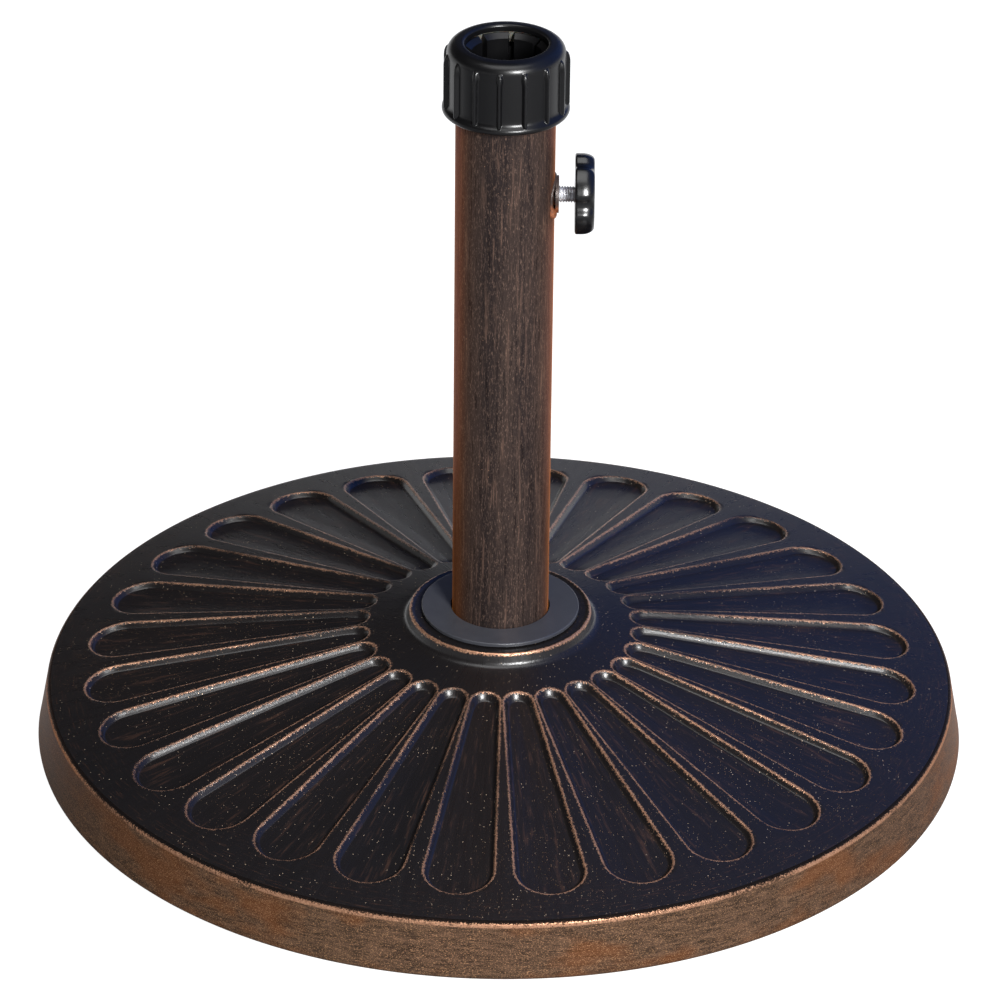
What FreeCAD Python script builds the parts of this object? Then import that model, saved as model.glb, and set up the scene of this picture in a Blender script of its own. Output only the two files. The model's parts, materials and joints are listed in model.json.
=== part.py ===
"""Parasol base: a cast stone plate with a fluted crown, a steel tube, a thumb screw and a twist cap.

The frame is in millimetres with +Z up. The origin lies on the ground, on the axis of the tube, and the
thumb screw points along +X.
"""
import FreeCAD, Part
import math
import os
from types import SimpleNamespace

import Sketcher

# The driving dimensions, in millimetres and degrees. A height is measured from the ground.
SIZES = {
    # cast plate
    "base_radius": 228.87,
    "base_bottom": 2.0,
    "rim_radius": 224.1,
    "rim_height": 30.2,
    "rim_round": 2.5,
    "base_edge_round": 1.5,
    "crown_radius": 50.0,
    "crown_height": 60.4,
    "boss_foot_radius": 47.2,
    "boss_foot_height": 61.0,
    "boss_edge_radius": 44.3,
    "boss_edge_height": 67.4,
    "boss_round": 1.2,
    "land_radius": 42.0,
    "land_height": 66.8,
    "socket_radius": 24.0,
    "socket_floor": 34.0,
    "well_radius": 33.0,
    "well_ceiling": 18.0,
    "hub_ring_radius": 56.0,
    "rim_ring_radius": 199.0,
    "hollow_ceiling": 14.0,
    "hollow_draft": 5.0,
    # flutes in the crown
    "flute_count": 28.0,
    "flute_phase": 7.45,
    "flute_inner_end": 65.0,
    "flute_outer_end": 205.0,
    "flute_inner_round": 7.2,
    "flute_outer_round": 16.5,
    "flute_depth": 3.0,
    "flute_draft": 35.0,
    # foot pads
    "pad_count": 6.0,
    "pad_radius": 9.0,
    "pad_circle": 213.0,
    "pad_height": 4.0,
    "pad_pocket_radius": 9.1,
    # cover ring and gasket on the boss
    "gasket_inner": 26.0,
    "gasket_outer": 37.2,
    "gasket_thickness": 0.8,
    "ring_inner": 24.4,
    "ring_outer": 38.7,
    "ring_thickness": 1.8,
    "ring_round": 0.5,
    # tube
    "tube_radius": 23.6,
    "tube_wall": 1.5,
    "tube_top": 352.0,
    # anchor at the tube's foot
    "foot_plate_thickness": 4.0,
    "foot_weld_leg": 2.5,
    "anchor_radius": 5.0,
    "anchor_hole_radius": 5.5,
    "anchor_nut_width": 17.0,
    "anchor_nut_height": 8.0,
    "anchor_head_height": 6.4,
    "anchor_tip_height": 49.0,
    "anchor_washer_radius": 30.0,
    "anchor_washer_thickness": 3.0,
    "spring_washer_radius": 9.0,
    "spring_washer_thickness": 2.4,
    "spring_washer_split": 12.0,
    # thumb screw; distances along the screw are measured from the tube's axis
    "clamp_height": 293.4,
    "clamp_nut_face": 25.5,
    "clamp_nut_flange_radius": 8.95,
    "clamp_nut_flange_back": 23.9,
    "clamp_nut_barrel_radius": 5.6,
    "clamp_nut_barrel_end": 20.3,
    "clamp_nut_bore_radius": 4.05,
    "weld_radius": 10.4,
    "weld_back": 20.5,
    "weld_front": 24.7,
    "stud_radius": 4.0,
    "stud_end": 22.2,
    "stud_pin_radius": 1.8,
    "stud_pin_end": 20.6,
    "stud_head_width": 13.0,
    "stud_head_back": 37.0,
    "stud_head_thickness": 3.0,
    "shoe_radius": 3.4,
    "shoe_tip": 19.6,
    "shoe_back": 22.0,
    "shoe_bore_radius": 1.9,
    "shoe_bore_end": 20.4,
    "knob_back": 33.0,
    "knob_thickness": 9.2,
    "knob_radius": 19.5,
    "knob_valley_count": 5.0,
    "knob_valley_circle": 21.3,
    "knob_valley_radius": 4.2,
    "knob_valley_phase": 173.3,
    "knob_lobe_round": 2.5,
    "knob_face_round": 3.0,
    "knob_plug_radius": 8.6,
    "knob_plug_thickness": 1.5,
    # threaded collar on the tube's top
    "collar_thread_radius": 26.0,
    "collar_skirt_bottom": 342.0,
    "collar_top": 360.0,
    "collar_bore_radius": 20.4,
    "collar_spigot_bottom": 322.0,
    "collar_gap": 0.1,
    "collar_screw_count": 3.0,
    "collar_screw_height": 346.0,
    "collar_screw_radius": 1.4,
    "collar_screw_hole_radius": 1.5,
    "collar_screw_start": 20.7,
    "collar_screw_head_radius": 2.4,
    "collar_screw_seat_radius": 2.5,
    "collar_screw_head_back": 24.6,
    "collar_screw_head_front": 25.8,
    # pole sleeve
    "sleeve_bore_radius": 16.6,
    "sleeve_radius": 20.1,
    "sleeve_bottom": 325.7,
    "sleeve_bore_top": 365.7,
    "sleeve_mouth_radius": 19.5,
    "sleeve_top": 367.6,
    "sleeve_crest_radius": 20.2,
    "sleeve_head_radius": 22.2,
    "sleeve_head_bottom": 360.2,
    "sleeve_slit_count": 8.0,
    "sleeve_slit_width": 2.8,
    "sleeve_slit_bottom": 342.0,
    "sleeve_slit_phase": 37.7,
    # wedge ring that the cap pushes down over the sleeve's head
    "wedge_outer": 25.9,
    "wedge_bottom": 361.6,
    "wedge_top": 367.6,
    "wedge_gap": 0.35,
    # twist cap
    "cap_bottom": 337.0,
    "cap_top": 371.5,
    "cap_thread_radius": 26.35,
    "cap_ceiling": 367.9,
    "cap_mouth_radius": 19.5,
    "cap_mouth_round": 0.9,
    "cap_body_radius": 27.9,
    "cap_shoulder_round": 3.2,
    "cap_hem_radius": 30.0,
    "cap_hem_height": 3.2,
    "cap_hem_slope": 2.0,
    "cap_hem_round": 1.0,
    "cap_rib_count": 15.0,
    "cap_rib_radius": 29.8,
    "cap_rib_root": 27.2,
    "cap_rib_width": 2.0,
    "cap_rib_top": 366.0,
    "cap_rib_slope": 2.4,
}

PARTS_FOLDER = "parts"
SQRT3 = math.sqrt(3.0)
CLEAR_CUT = 1.0  # how far a cut runs past the face that it opens
QUARTER_TURN = 90.0

document = FreeCAD.newDocument("parasol_base")
sheet = document.addObject("Spreadsheet::Sheet", "sizes")


class Size:
    """A length or angle with the sheet expression that gives it; arithmetic keeps the two together."""

    def __init__(self, value, text):
        self.value = value
        self.text = text

    def joined(self, sign, other, value):
        return Size(value, f"({self.text} {sign} {text_of(other)})")

    def __add__(self, other):
        return self.joined("+", other, self.value + value_of(other))

    def __sub__(self, other):
        return self.joined("-", other, self.value - value_of(other))

    def __mul__(self, other):
        return self.joined("*", other, self.value * value_of(other))

    def __truediv__(self, other):
        return self.joined("/", other, self.value / value_of(other))


def value_of(size):
    return size.value if isinstance(size, Size) else float(size)


def text_of(size):
    return size.text if isinstance(size, Size) else repr(float(size))


def fill_sheet():
    """Write each driving dimension as a plain number with its alias, and return them by name."""
    for row, (alias, number) in enumerate(SIZES.items(), start=1):
        sheet.set(f"A{row}", alias)
        sheet.set(f"B{row}", str(number))
        sheet.setAlias(f"B{row}", alias)
    document.recompute()
    return SimpleNamespace(**{alias: Size(number, f"sizes.{alias}") for alias, number in SIZES.items()})


# ---------------------------------------------------------------- sketches and features

def bind(item, path, size):
    """Tie one property of a document object to the sheet."""
    item.setExpression(path, text_of(size))


def new_body(name):
    body = document.addObject("PartDesign::Body", name)
    body.Label = name
    return body


def origin_plane(body, role):
    return next(item for item in body.Origin.OriginFeatures if item.Role == role)


def new_sketch(body, name, role="XZ_Plane"):
    """An empty sketch on one of the body's own origin planes."""
    sketch = body.newObject("Sketcher::SketchObject", name)
    sketch.AttachmentSupport = [(origin_plane(body, role), "")]
    sketch.MapMode = "FlatFace"
    return sketch


def hold_point(sketch, geometry, point, x, y):
    """Fix one end of a line, or a circle's centre, at sheet coordinates."""
    for kind, size, axis in (("DistanceX", x, -2), ("DistanceY", y, -1)):
        if value_of(size) == 0.0:
            sketch.addConstraint(Sketcher.Constraint("PointOnObject", geometry, point, axis))
            continue
        held = Sketcher.Constraint(kind, -1, 1, geometry, point, value_of(size))
        index = sketch.addConstraint(held)
        bind(sketch, f"Constraints[{index}]", size)


def draw_outline(sketch, corners):
    """A closed outline of straight lines through corners, each an (x, y) pair of sizes."""
    points = [FreeCAD.Vector(value_of(x), value_of(y), 0) for x, y in corners]
    count = len(points)
    lines = [
        sketch.addGeometry(Part.LineSegment(points[index], points[(index + 1) % count]), False)
        for index in range(count)
    ]
    for index, line in enumerate(lines):
        following = lines[(index + 1) % count]
        sketch.addConstraint(Sketcher.Constraint("Coincident", line, 2, following, 1))
    for line, (x, y) in zip(lines, corners):
        hold_point(sketch, line, 1, x, y)


def draw_circle(sketch, x, y, radius):
    centre = FreeCAD.Vector(value_of(x), value_of(y), 0)
    upward = FreeCAD.Vector(0, 0, 1)
    circle = sketch.addGeometry(Part.Circle(centre, upward, value_of(radius)), False)
    hold_point(sketch, circle, 3, x, y)
    index = sketch.addConstraint(Sketcher.Constraint("Radius", circle, value_of(radius)))
    bind(sketch, f"Constraints[{index}]", radius)


def turned(body, corners, name="profile", sweep=360.0):
    """Turn an outline of (radius, height) corners about the body's Z axis."""
    sketch = new_sketch(body, body.Name + "_" + name)
    draw_outline(sketch, corners)
    revolution = body.newObject("PartDesign::Revolution", body.Name + "_turned")
    revolution.Profile = sketch
    revolution.ReferenceAxis = (sketch, ["V_Axis"])
    revolution.Angle = value_of(sweep)
    if isinstance(sweep, Size):
        bind(revolution, "Angle", sweep)
    document.recompute()
    return revolution


def ring_edges(shape, radius, height):
    """The names of the circular edges about Z that have this radius and height."""
    names = []
    for index, edge in enumerate(shape.Edges, start=1):
        curve = edge.Curve
        if not isinstance(curve, Part.Circle):
            continue
        centred = math.hypot(curve.Center.x, curve.Center.y) < 1e-4
        if centred and abs(curve.Radius - radius) < 1e-3 and abs(curve.Center.z - height) < 1e-3:
            names.append(f"Edge{index}")
    return names


def round_edges(body, names, radius):
    """Round the named edges of the body as it stands."""
    if not names:
        raise RuntimeError(f"{body.Name}: no edge to round")
    base = body.Tip
    fillet = body.newObject("PartDesign::Fillet", f"{body.Name}_round_{len(body.Group)}")
    fillet.Base = (base, names)
    bind(fillet, "Radius", radius)
    document.recompute()


def round_ring(body, radius, height, size):
    names = ring_edges(body.Tip.Shape, value_of(radius), value_of(height))
    round_edges(body, names, size)


def cut_pocket(body, sketch, length, reverse=False, draft=None):
    """Cut the sketch's outline into the body, and make sure that it takes material away."""
    before = body.Shape.Volume
    pocket = body.newObject("PartDesign::Pocket", sketch.Name + "_pocket")
    pocket.Profile = sketch
    pocket.Type = "Length"
    bind(pocket, "Length", length)
    pocket.Reversed = reverse
    if draft is not None:
        pocket.TaperAngle = -value_of(draft)
        bind(pocket, "TaperAngle", draft * -1)
    document.recompute()
    if not body.Shape.Volume < before - 1e-3:
        raise RuntimeError(f"{pocket.Name} cuts nothing")
    return pocket


def repeat_around(body, feature, count):
    """Repeat a feature evenly about the body's Z axis."""
    pattern = body.newObject("PartDesign::PolarPattern", feature.Name + "_around")
    pattern.Originals = [feature]
    pattern.Axis = (origin_plane(body, "Z_Axis"), [""])
    pattern.Angle = 360
    bind(pattern, "Occurrences", count)
    body.Tip = pattern
    document.recompute()


def radial_hole(body, radius, height):
    """A hole through the +X side of the wall, at one height; the pocket starts on the axis."""
    sketch = new_sketch(body, f"{body.Name}_hole_{len(body.Group)}", "YZ_Plane")
    draw_circle(sketch, 0, height, radius)
    return cut_pocket(body, sketch, dims.base_radius, reverse=True)


def lay_along_x(body, height, roll=0.0):
    """Turn a body made about Z so that its axis lies along +X at this height, rolled about that axis."""
    lying = FreeCAD.Rotation(FreeCAD.Vector(0, 1, 0), 90)
    rolled = FreeCAD.Rotation(FreeCAD.Vector(1, 0, 0), roll)
    body.Placement = FreeCAD.Placement(FreeCAD.Vector(0, 0, value_of(height)), rolled * lying)
    bind(body, "Placement.Base.z", height)
    return body


def knob_roll():
    """The roll that brings a valley made at local +X to its place round the screw's axis."""
    return dims.knob_valley_phase.value + QUARTER_TURN


def washer(name, inner, outer, bottom, thickness):
    """A flat ring about Z."""
    body = new_body(name)
    top = bottom + thickness
    turned(body, [(inner, bottom), (outer, bottom), (outer, top), (inner, top)])
    return body


def cylinder(name, radius, bottom, height):
    item = document.addObject("Part::Cylinder", name)
    bind(item, "Radius", radius)
    bind(item, "Height", height)
    bind(item, "Placement.Base.z", bottom)
    return item


def hexagon(name, width, bottom, height):
    """A hexagonal prism about Z; width is the distance across its flats."""
    item = document.addObject("Part::Prism", name)
    item.Polygon = 6
    bind(item, "Circumradius", width / SQRT3)
    bind(item, "Height", height)
    bind(item, "Placement.Base.z", bottom)
    return item


def boolean(kind, name, base, tool):
    item = document.addObject(kind, name)
    item.Base = base
    item.Tool = tool
    item.Label = name
    return item


def group_of(name, pieces):
    """Separate identical solids that share one node."""
    item = document.addObject("Part::Compound", name)
    item.Links = pieces
    item.Label = name
    return item


# ---------------------------------------------------------------- cast plate and what stands on it

def make_base_plate():
    """The cast plate: hollow underside, conical crown, raised boss with the tube's socket."""
    body = new_body("base_plate")
    turned(body, [
        (dims.anchor_hole_radius, dims.well_ceiling),
        (dims.well_radius, dims.well_ceiling),
        (dims.well_radius, dims.base_bottom),
        (dims.hub_ring_radius, dims.base_bottom),
        (dims.hub_ring_radius + dims.hollow_draft, dims.hollow_ceiling),
        (dims.rim_ring_radius - dims.hollow_draft, dims.hollow_ceiling),
        (dims.rim_ring_radius, dims.base_bottom),
        (dims.base_radius, dims.base_bottom),
        (dims.rim_radius, dims.rim_height),
        (dims.crown_radius, dims.crown_height),
        (dims.boss_foot_radius, dims.boss_foot_height),
        (dims.boss_edge_radius, dims.boss_edge_height),
        (dims.land_radius, dims.land_height),
        (dims.socket_radius, dims.land_height),
        (dims.socket_radius, dims.socket_floor),
        (dims.anchor_hole_radius, dims.socket_floor),
    ])
    round_ring(body, dims.boss_edge_radius, dims.boss_edge_height, dims.boss_round)
    round_ring(body, dims.rim_radius, dims.rim_height, dims.rim_round)
    round_ring(body, dims.base_radius, dims.base_bottom, dims.base_edge_round)
    cut_flutes(body)
    cut_pad_pockets(body)
    return body


def cut_flutes(body):
    """Petal-shaped recesses: one lies in the plane that touches the cone, and the rest follow around."""
    run = dims.rim_radius.value - dims.crown_radius.value
    rise = dims.crown_height.value - dims.rim_height.value
    slope = math.atan2(rise, run)
    apex = dims.crown_height.value + dims.crown_radius.value * math.tan(slope)
    sketch = new_sketch(body, "flute", "XY_Plane")
    phase = FreeCAD.Rotation(FreeCAD.Vector(0, 0, 1), dims.flute_phase.value)
    tilt = FreeCAD.Rotation(FreeCAD.Vector(0, 1, 0), math.degrees(slope))
    sketch.AttachmentOffset = FreeCAD.Placement(FreeCAD.Vector(0, 0, apex), phase * tilt)
    draw_petal(
        sketch,
        dims.flute_inner_end / math.cos(slope) + dims.flute_inner_round,
        dims.flute_inner_round,
        dims.flute_outer_end / math.cos(slope) - dims.flute_outer_round,
        dims.flute_outer_round,
    )
    pocket = cut_pocket(body, sketch, dims.flute_depth, draft=dims.flute_draft)
    repeat_around(body, pocket, dims.flute_count)


def draw_petal(sketch, inner_x, inner_radius, outer_x, outer_radius):
    """Two arcs centred on the X axis, joined by the straight lines that touch both."""
    lean = math.asin((outer_radius.value - inner_radius.value) / (outer_x.value - inner_x.value))
    upward = FreeCAD.Vector(0, 0, 1)
    quarter = math.pi / 2
    ends = []
    for x, radius in ((inner_x, inner_radius), (outer_x, outer_radius)):
        centre = FreeCAD.Vector(x.value, 0, 0)
        reach = FreeCAD.Vector(-math.sin(lean), math.cos(lean), 0) * radius.value
        ends.append((centre + reach, centre + FreeCAD.Vector(reach.x, -reach.y, 0)))
    inner_circle = Part.Circle(FreeCAD.Vector(inner_x.value, 0, 0), upward, inner_radius.value)
    outer_circle = Part.Circle(FreeCAD.Vector(outer_x.value, 0, 0), upward, outer_radius.value)
    inner_arc = sketch.addGeometry(
        Part.ArcOfCircle(inner_circle, quarter + lean, 3 * quarter - lean), False)
    lower = sketch.addGeometry(Part.LineSegment(ends[0][1], ends[1][1]), False)
    outer_arc = sketch.addGeometry(
        Part.ArcOfCircle(outer_circle, -quarter - lean, quarter + lean), False)
    upper = sketch.addGeometry(Part.LineSegment(ends[1][0], ends[0][0]), False)
    for first, end, second, start in (
        (inner_arc, 2, lower, 1), (lower, 2, outer_arc, 1), (outer_arc, 2, upper, 1), (upper, 2, inner_arc, 1),
    ):
        sketch.addConstraint(Sketcher.Constraint("Tangent", first, end, second, start))
    for arc, x, radius in ((inner_arc, inner_x, inner_radius), (outer_arc, outer_x, outer_radius)):
        hold_point(sketch, arc, 3, x, 0)
        index = sketch.addConstraint(Sketcher.Constraint("Radius", arc, radius.value))
        bind(sketch, f"Constraints[{index}]", radius)


def cut_pad_pockets(body):
    """Round seats for the rubber pads in the underside of the rim."""
    sketch = new_sketch(body, "pad_seat", "XY_Plane")
    draw_circle(sketch, dims.pad_circle, 0, dims.pad_pocket_radius)
    pocket = cut_pocket(body, sketch, dims.pad_height, reverse=True)
    repeat_around(body, pocket, dims.pad_count)


def make_foot_pads():
    """Rubber pads that stand out of the underside and meet the ground."""
    pads = []
    for index in range(int(dims.pad_count.value)):
        angle = 360.0 * index / dims.pad_count.value
        pad = cylinder(f"foot_pad_{index + 1}", dims.pad_radius, Size(0.0, "0"), dims.pad_height)
        pad.setExpression("Placement.Base.x", f"{dims.pad_circle.text} * cos({angle} deg)")
        pad.setExpression("Placement.Base.y", f"{dims.pad_circle.text} * sin({angle} deg)")
        pads.append(pad)
    return group_of("foot_pads", pads)


def make_flange_gasket():
    return washer("flange_gasket", dims.gasket_inner, dims.gasket_outer,
                  dims.land_height, dims.gasket_thickness)


def make_flange_ring():
    """The smooth cover ring that hides the socket's mouth."""
    bottom = dims.land_height + dims.gasket_thickness
    body = washer("flange_ring", dims.ring_inner, dims.ring_outer, bottom, dims.ring_thickness)
    round_ring(body, dims.ring_outer, bottom + dims.ring_thickness, dims.ring_round)
    return body


# ---------------------------------------------------------------- tube and its anchor

def make_tube():
    """The upright tube, with a hole for the clamp nut and three small ones for the collar's screws."""
    inner = dims.tube_radius - dims.tube_wall
    body = new_body("tube")
    turned(body, [
        (inner, dims.socket_floor),
        (dims.tube_radius, dims.socket_floor),
        (dims.tube_radius, dims.tube_top),
        (inner, dims.tube_top),
    ])
    radial_hole(body, dims.clamp_nut_barrel_radius, dims.clamp_height)
    screw_hole = radial_hole(body, dims.collar_screw_hole_radius, dims.collar_screw_height)
    repeat_around(body, screw_hole, dims.collar_screw_count)
    return body


def make_tube_foot_plate():
    return washer("tube_foot_plate", dims.anchor_hole_radius, dims.tube_radius - dims.tube_wall,
                  dims.socket_floor, dims.foot_plate_thickness)


def make_foot_weld():
    """The weld run in the corner between the tube and its foot plate."""
    wall = dims.tube_radius - dims.tube_wall
    floor = dims.socket_floor + dims.foot_plate_thickness
    body = new_body("foot_weld")
    turned(body, [(wall - dims.foot_weld_leg, floor), (wall, floor), (wall, floor + dims.foot_weld_leg)])
    return body


def make_foot_nut():
    """The nut welded on the foot plate, which the anchor bolt pulls down."""
    floor = dims.socket_floor + dims.foot_plate_thickness
    blank = hexagon("foot_nut_blank", dims.anchor_nut_width, floor, dims.anchor_nut_height)
    bore = cylinder("foot_nut_bore", dims.anchor_radius, floor, dims.anchor_nut_height)
    return boolean("Part::Cut", "foot_nut", blank, bore)


def make_anchor_washer():
    bottom = dims.well_ceiling - dims.anchor_washer_thickness
    return washer("anchor_washer", dims.anchor_hole_radius, dims.anchor_washer_radius,
                  bottom, dims.anchor_washer_thickness)


def spring_washer_bottom():
    return dims.well_ceiling - dims.anchor_washer_thickness - dims.spring_washer_thickness


def make_spring_washer():
    """A split ring, flattened by the bolt's head."""
    bottom = spring_washer_bottom()
    top = bottom + dims.spring_washer_thickness
    inner = dims.anchor_hole_radius
    body = new_body("spring_washer")
    turned(body, [
        (inner, bottom),
        (dims.spring_washer_radius, bottom),
        (dims.spring_washer_radius, top),
        (inner, top),
    ], sweep=dims.spring_washer_split * -1 + 360)
    return body


def make_anchor_bolt():
    """The hexagon bolt that holds the tube in the plate from below."""
    seat = spring_washer_bottom()
    head = hexagon("anchor_bolt_head", dims.anchor_nut_width,
                   seat - dims.anchor_head_height, dims.anchor_head_height)
    shank = cylinder("anchor_bolt_shank", dims.anchor_radius, seat, dims.anchor_tip_height - seat)
    return boolean("Part::Fuse", "anchor_bolt", head, shank)


# ---------------------------------------------------------------- thumb screw, made about Z, laid along +X

def make_clamp_nut():
    """The flanged nut set through the tube's wall; its bore stands for the thread."""
    body = new_body("clamp_nut")
    turned(body, [
        (dims.clamp_nut_bore_radius, dims.clamp_nut_barrel_end),
        (dims.clamp_nut_barrel_radius, dims.clamp_nut_barrel_end),
        (dims.clamp_nut_barrel_radius, dims.clamp_nut_flange_back),
        (dims.clamp_nut_flange_radius, dims.clamp_nut_flange_back),
        (dims.clamp_nut_flange_radius, dims.clamp_nut_face),
        (dims.clamp_nut_bore_radius, dims.clamp_nut_face),
    ])
    return lay_along_x(body, dims.clamp_height)


def make_nut_weld():
    """The weld that fills the space between the nut's flange and the round of the tube."""
    disc = cylinder("weld_disc", dims.weld_radius, dims.weld_back, dims.weld_front - dims.weld_back)
    lay_along_x(disc, dims.clamp_height)
    bind(disc, "Placement.Base.x", dims.weld_back)
    tube_space = cylinder("weld_tube_space", dims.tube_radius,
                          dims.clamp_height - dims.base_radius, dims.base_radius * 2)
    over_tube = boolean("Part::Cut", "weld_over_tube", disc, tube_space)
    flange = cylinder("weld_flange_space", dims.clamp_nut_flange_radius,
                      dims.clamp_nut_flange_back, dims.clamp_nut_face - dims.clamp_nut_flange_back)
    lay_along_x(flange, dims.clamp_height)
    bind(flange, "Placement.Base.x", dims.clamp_nut_flange_back)
    around_flange = boolean("Part::Cut", "weld_around_flange", over_tube, flange)
    barrel = cylinder("weld_barrel_space", dims.clamp_nut_barrel_radius,
                      dims.weld_back, dims.clamp_nut_face - dims.weld_back)
    lay_along_x(barrel, dims.clamp_height)
    bind(barrel, "Placement.Base.x", dims.weld_back)
    return boolean("Part::Cut", "nut_weld", around_flange, barrel)


def make_clamp_stud():
    """The screw: a pin that carries the shoe, the shank, and the head moulded into the knob."""
    body = new_body("clamp_stud")
    turned(body, [
        (0, dims.stud_pin_end),
        (dims.stud_pin_radius, dims.stud_pin_end),
        (dims.stud_pin_radius, dims.stud_end),
        (dims.stud_radius, dims.stud_end),
        (dims.stud_radius, dims.stud_head_back + dims.stud_head_thickness),
        (0, dims.stud_head_back + dims.stud_head_thickness),
    ])
    add_hexagon(body, dims.stud_head_width, dims.stud_head_back, dims.stud_head_thickness)
    return lay_along_x(body, dims.clamp_height, knob_roll())


def hexagon_sketch(body, name, width, bottom):
    """A hexagon about Z at one height; width is the distance across its flats."""
    sketch = new_sketch(body, name, "XY_Plane")
    bind(sketch, "AttachmentOffset.Base.z", bottom)
    half = width / 2
    corner = width / (2 * SQRT3)
    draw_outline(sketch, [
        (half, corner), (0, corner * 2), (half * -1, corner),
        (half * -1, corner * -1), (0, corner * -2), (half, corner * -1),
    ])
    return sketch


def add_hexagon(body, width, bottom, height):
    sketch = hexagon_sketch(body, body.Name + "_hexagon", width, bottom)
    pad = body.newObject("PartDesign::Pad", body.Name + "_head")
    pad.Profile = sketch
    pad.Type = "Length"
    bind(pad, "Length", height)
    document.recompute()


def make_clamp_shoe():
    """The soft tip that stays still on the pole while the screw turns in it."""
    body = new_body("clamp_shoe")
    turned(body, [
        (0, dims.shoe_tip),
        (dims.shoe_radius, dims.shoe_tip),
        (dims.shoe_radius, dims.shoe_back),
        (dims.shoe_bore_radius, dims.shoe_back),
        (dims.shoe_bore_radius, dims.shoe_bore_end),
        (0, dims.shoe_bore_end),
    ])
    return lay_along_x(body, dims.clamp_height)


def make_knob():
    """The five-lobed hand knob, moulded round the screw's head, with a round seat for its plug."""
    body = new_body("knob")
    turned(body, [
        (dims.stud_radius, dims.knob_back),
        (dims.knob_radius, dims.knob_back),
        (dims.knob_radius, dims.knob_back + dims.knob_thickness),
        (dims.knob_plug_radius, dims.knob_back + dims.knob_thickness),
        (dims.knob_plug_radius, dims.stud_head_back + dims.stud_head_thickness),
        (dims.stud_radius, dims.stud_head_back + dims.stud_head_thickness),
    ])
    valley = new_sketch(body, "knob_valley", "XY_Plane")
    bind(valley, "AttachmentOffset.Base.z", dims.knob_back)
    draw_circle(valley, dims.knob_valley_circle, 0, dims.knob_valley_radius)
    pocket = cut_pocket(body, valley, dims.knob_thickness, reverse=True)
    repeat_around(body, pocket, dims.knob_valley_count)
    round_edges(body, upright_edges(body.Shape, dims.knob_radius.value), dims.knob_lobe_round)
    face = dims.knob_back + dims.knob_thickness
    round_edges(body, rim_edges(body.Shape, face.value, dims.knob_plug_radius.value),
                dims.knob_face_round)
    seat = hexagon_sketch(body, "knob_head_seat", dims.stud_head_width, dims.stud_head_back)
    cut_pocket(body, seat, dims.stud_head_thickness, reverse=True)
    return lay_along_x(body, dims.clamp_height, knob_roll())


def upright_edges(shape, radius):
    """The straight edges along Z that stand at this radius."""
    names = []
    for index, edge in enumerate(shape.Edges, start=1):
        if len(edge.Vertexes) != 2:
            continue
        start, end = (vertex.Point for vertex in edge.Vertexes)
        upright = math.hypot(start.x - end.x, start.y - end.y) < 1e-4
        if upright and abs(math.hypot(start.x, start.y) - radius) < 1e-3:
            names.append(f"Edge{index}")
    return names


def rim_edges(shape, height, inner_radius):
    """The edges that lie at this height outside a central seat."""
    names = []
    for index, edge in enumerate(shape.Edges, start=1):
        points = edge.discretize(5)
        level = all(abs(point.z - height) < 1e-4 for point in points)
        outside = all(math.hypot(point.x, point.y) > inner_radius + CLEAR_CUT for point in points)
        if level and outside:
            names.append(f"Edge{index}")
    return names


def make_knob_plug():
    """The round plug that closes the knob over the screw's head."""
    body = new_body("knob_plug")
    bottom = dims.stud_head_back + dims.stud_head_thickness
    top = bottom + dims.knob_plug_thickness
    turned(body, [(0, bottom), (dims.knob_plug_radius, bottom), (dims.knob_plug_radius, top), (0, top)])
    return lay_along_x(body, dims.clamp_height)


# ---------------------------------------------------------------- twist cap and pole sleeve

def make_threaded_collar():
    """The collar that straddles the tube's end: thread outside, spigot inside."""
    outside = dims.tube_radius + dims.collar_gap
    inside = dims.tube_radius - dims.tube_wall - dims.collar_gap
    body = new_body("threaded_collar")
    turned(body, [
        (dims.collar_bore_radius, dims.collar_spigot_bottom),
        (inside, dims.collar_spigot_bottom),
        (inside, dims.tube_top),
        (outside, dims.tube_top),
        (outside, dims.collar_skirt_bottom),
        (dims.collar_thread_radius, dims.collar_skirt_bottom),
        (dims.collar_thread_radius, dims.collar_top),
        (dims.collar_bore_radius, dims.collar_top),
    ])
    screw_hole = radial_hole(body, dims.collar_screw_hole_radius, dims.collar_screw_height)
    repeat_around(body, screw_hole, dims.collar_screw_count)
    seat = new_sketch(body, "collar_screw_seat", "XY_Plane")
    draw_screw_seat(seat)
    groove = body.newObject("PartDesign::Groove", "collar_screw_countersink")
    groove.Profile = seat
    groove.ReferenceAxis = (seat, ["H_Axis"])
    groove.Angle = 360
    repeat_around(body, groove, dims.collar_screw_count)
    return body


def draw_screw_seat(sketch):
    """The outline of a screw head's seat about the +X axis, at the screws' height."""
    bind(sketch, "AttachmentOffset.Base.z", dims.collar_screw_height)
    draw_outline(sketch, [
        (dims.collar_screw_head_back, 0),
        (dims.collar_screw_head_back, dims.collar_screw_hole_radius),
        (dims.collar_screw_head_front, dims.collar_screw_seat_radius),
        (dims.collar_thread_radius + CLEAR_CUT, dims.collar_screw_seat_radius),
        (dims.collar_thread_radius + CLEAR_CUT, 0),
    ])


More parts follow.
